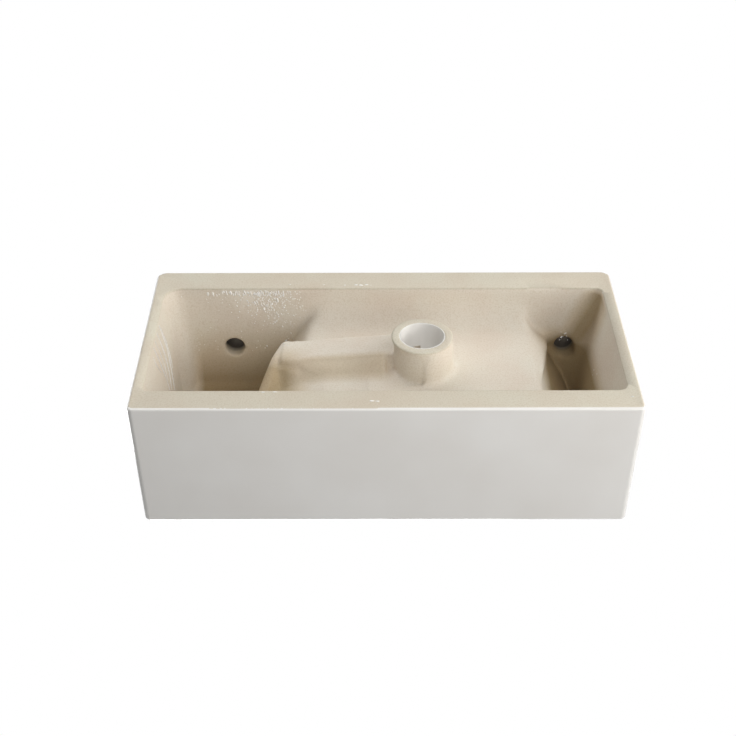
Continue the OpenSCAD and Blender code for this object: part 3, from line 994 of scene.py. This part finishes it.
# %% Runs on the end wall
# The picture points of each run and its width in mm
RUNS = [
    ([(158.8, 325.5), (162.5, 336.0), (166.8, 348.0), (170.8, 368.0), (174.6, 389.8)], 2.3),
    ([(156.8, 333.5), (161.0, 344.0), (164.8, 355.0), (169.0, 372.0), (171.8, 389.8)], 2.0),
    ([(153.3, 348.0), (157.5, 357.0), (161.5, 367.0), (166.0, 378.0), (169.6, 389.8)], 2.0),
    ([(160.5, 328.0), (165.8, 341.0), (169.6, 354.0), (172.5, 368.0)], 1.7),
    ([(152.9, 357.1), (155.7, 364.3), (161.4, 373.0)], 1.2),
    ([(155.0, 341.0), (160.0, 353.0), (164.6, 366.0), (168.0, 380.0)], 1.3),
]
join_pieces("glaze_runs", [run_along(points, width) for points, width in RUNS])

# %% [markdown]
# In the picture the spray lies in a cloud under the upper edge of the back wall, with a row of stretched
# drops at that edge and a few strays around. Chance places them, from a fixed start, so that they fall alike
# each time. The largest drops are listed one by one.

# %% Spray on the back wall
# In picture points: the cloud's middle, spread and ends, the row, and the field of the strays
CLOUD_ACROSS, CLOUD_DOWN, CLOUD_SPREAD = 271, 291, 15
CLOUD_LEFT, CLOUD_RIGHT, CLOUD_LOW = 205, 308, 346
ROW_LEFT, ROW_RIGHT, ROW_DOWN, ROW_DEPTH = 207, 284, 291.4, 4
STRAYS_LEFT, STRAYS_RIGHT, STRAYS_HIGH, STRAYS_LOW = 180, 300, 296, 352
# The directions in which drops are stretched, in radians from level
FALLING, STRAIGHT_DOWN = 1.4, 1.5
drops = []
for _ in range(330):
    across = chance.gauss(CLOUD_ACROSS, CLOUD_SPREAD)
    down = CLOUD_DOWN + abs(chance.gauss(0, CLOUD_SPREAD))
    if CLOUD_LEFT < across < CLOUD_RIGHT and down < CLOUD_LOW:
        radius = chance.choice((0.4, 0.45, 0.5, 0.6, 0.75))
        drops += drop_at(across, down, radius, chance.uniform(1, 1.7), FALLING)
for _ in range(70):
    across = chance.uniform(ROW_LEFT, ROW_RIGHT)
    down = ROW_DOWN + chance.uniform(0, ROW_DEPTH)
    drops += drop_at(across, down, chance.uniform(0.45, 0.8), chance.uniform(1.6, 3.4), STRAIGHT_DOWN)
for _ in range(60):
    across = chance.uniform(STRAYS_LEFT, STRAYS_RIGHT)
    down = chance.uniform(STRAYS_HIGH, STRAYS_LOW)
    drops += drop_at(across, down, chance.choice((0.35, 0.45, 0.55)), chance.uniform(1, 1.4), FALLING)
# The picture point of each large drop, its radius in mm and how far it is stretched
LARGE_DROPS = [
    (213, 294.0, 1.0, 2.6),
    (230.8, 292.8, 1.1, 2.4),
    (258, 294, 1.0, 2.8),
    (264, 309, 0.9, 2.2),
    (275, 322, 0.9, 1.3),
    (277.5, 300, 1.1, 2.8),
    (267, 346, 0.9, 1.5),
    (291, 333, 0.7, 1.4),
    (300, 307, 0.7, 1.5),
]
for across, down, radius, stretch in LARGE_DROPS:
    drops += drop_at(across, down, radius, stretch, FALLING)
join_pieces("glaze_spray", drops)

# %% [markdown]
# A few splashes lie apart: over the bolt hole on the picture's right, at that end of the basin, on the
# duct's corner and along the rim.

# %% Splashes
# The picture point of each splash, its radius in mm, how far it is stretched, and its slant in radians
SPLASHES = [
    (565.0, 333.5, 1.0, 2.0, 2.3),
    (562.0, 337.0, 1.1, 2.2, 2.3),
    (559.5, 340.0, 0.9, 1.6, 2.0),
    (566.5, 336.0, 0.7, 1.5, 1.6),
    (567.5, 340.0, 0.6, 1.3, 1.6),
    (561.0, 332.0, 0.5, 1.2, 1.0),
    (286.0, 340.5, 1.1, 1.4, 2.4),
    (284.0, 343.5, 0.6, 1.5, 2.2),
    (288.5, 338.5, 0.6, 1.2, 0.2),
    (356.0, 285.0, 0.9, 2.4, 0.0),
    (361.0, 285.3, 1.0, 2.4, 0.1),
    (366.5, 284.8, 0.8, 2.6, 0.0),
    (371.0, 285.3, 0.5, 1.6, 0.0),
    (594.0, 370.0, 0.6, 1.3, 0.5),
    (597.0, 374.0, 0.7, 1.2, 0.9),
    (592.5, 375.0, 0.4, 1.1, 0.9),
    (603.0, 292.5, 0.7, 1.6, 0.9),
    (372.0, 401.0, 0.9, 2.8, 0.0),
    (377.5, 401.3, 0.8, 2.6, 0.0),
    (263.0, 392.3, 0.6, 3.2, 0.0),
    (275.0, 392.0, 0.7, 3.6, 0.0),
    (290.0, 284.5, 0.6, 2.0, 0.2),
    (324.0, 284.8, 0.5, 2.2, 0.0),
    (345.0, 285.2, 0.6, 2.2, 0.0),
    (632.5, 396.5, 0.7, 2.2, 0.2),
]
drops = []
for splash in SPLASHES:
    drops += drop_at(*splash)
join_pieces("glaze_splashes", drops)
bpy.data.objects.remove(droplet)
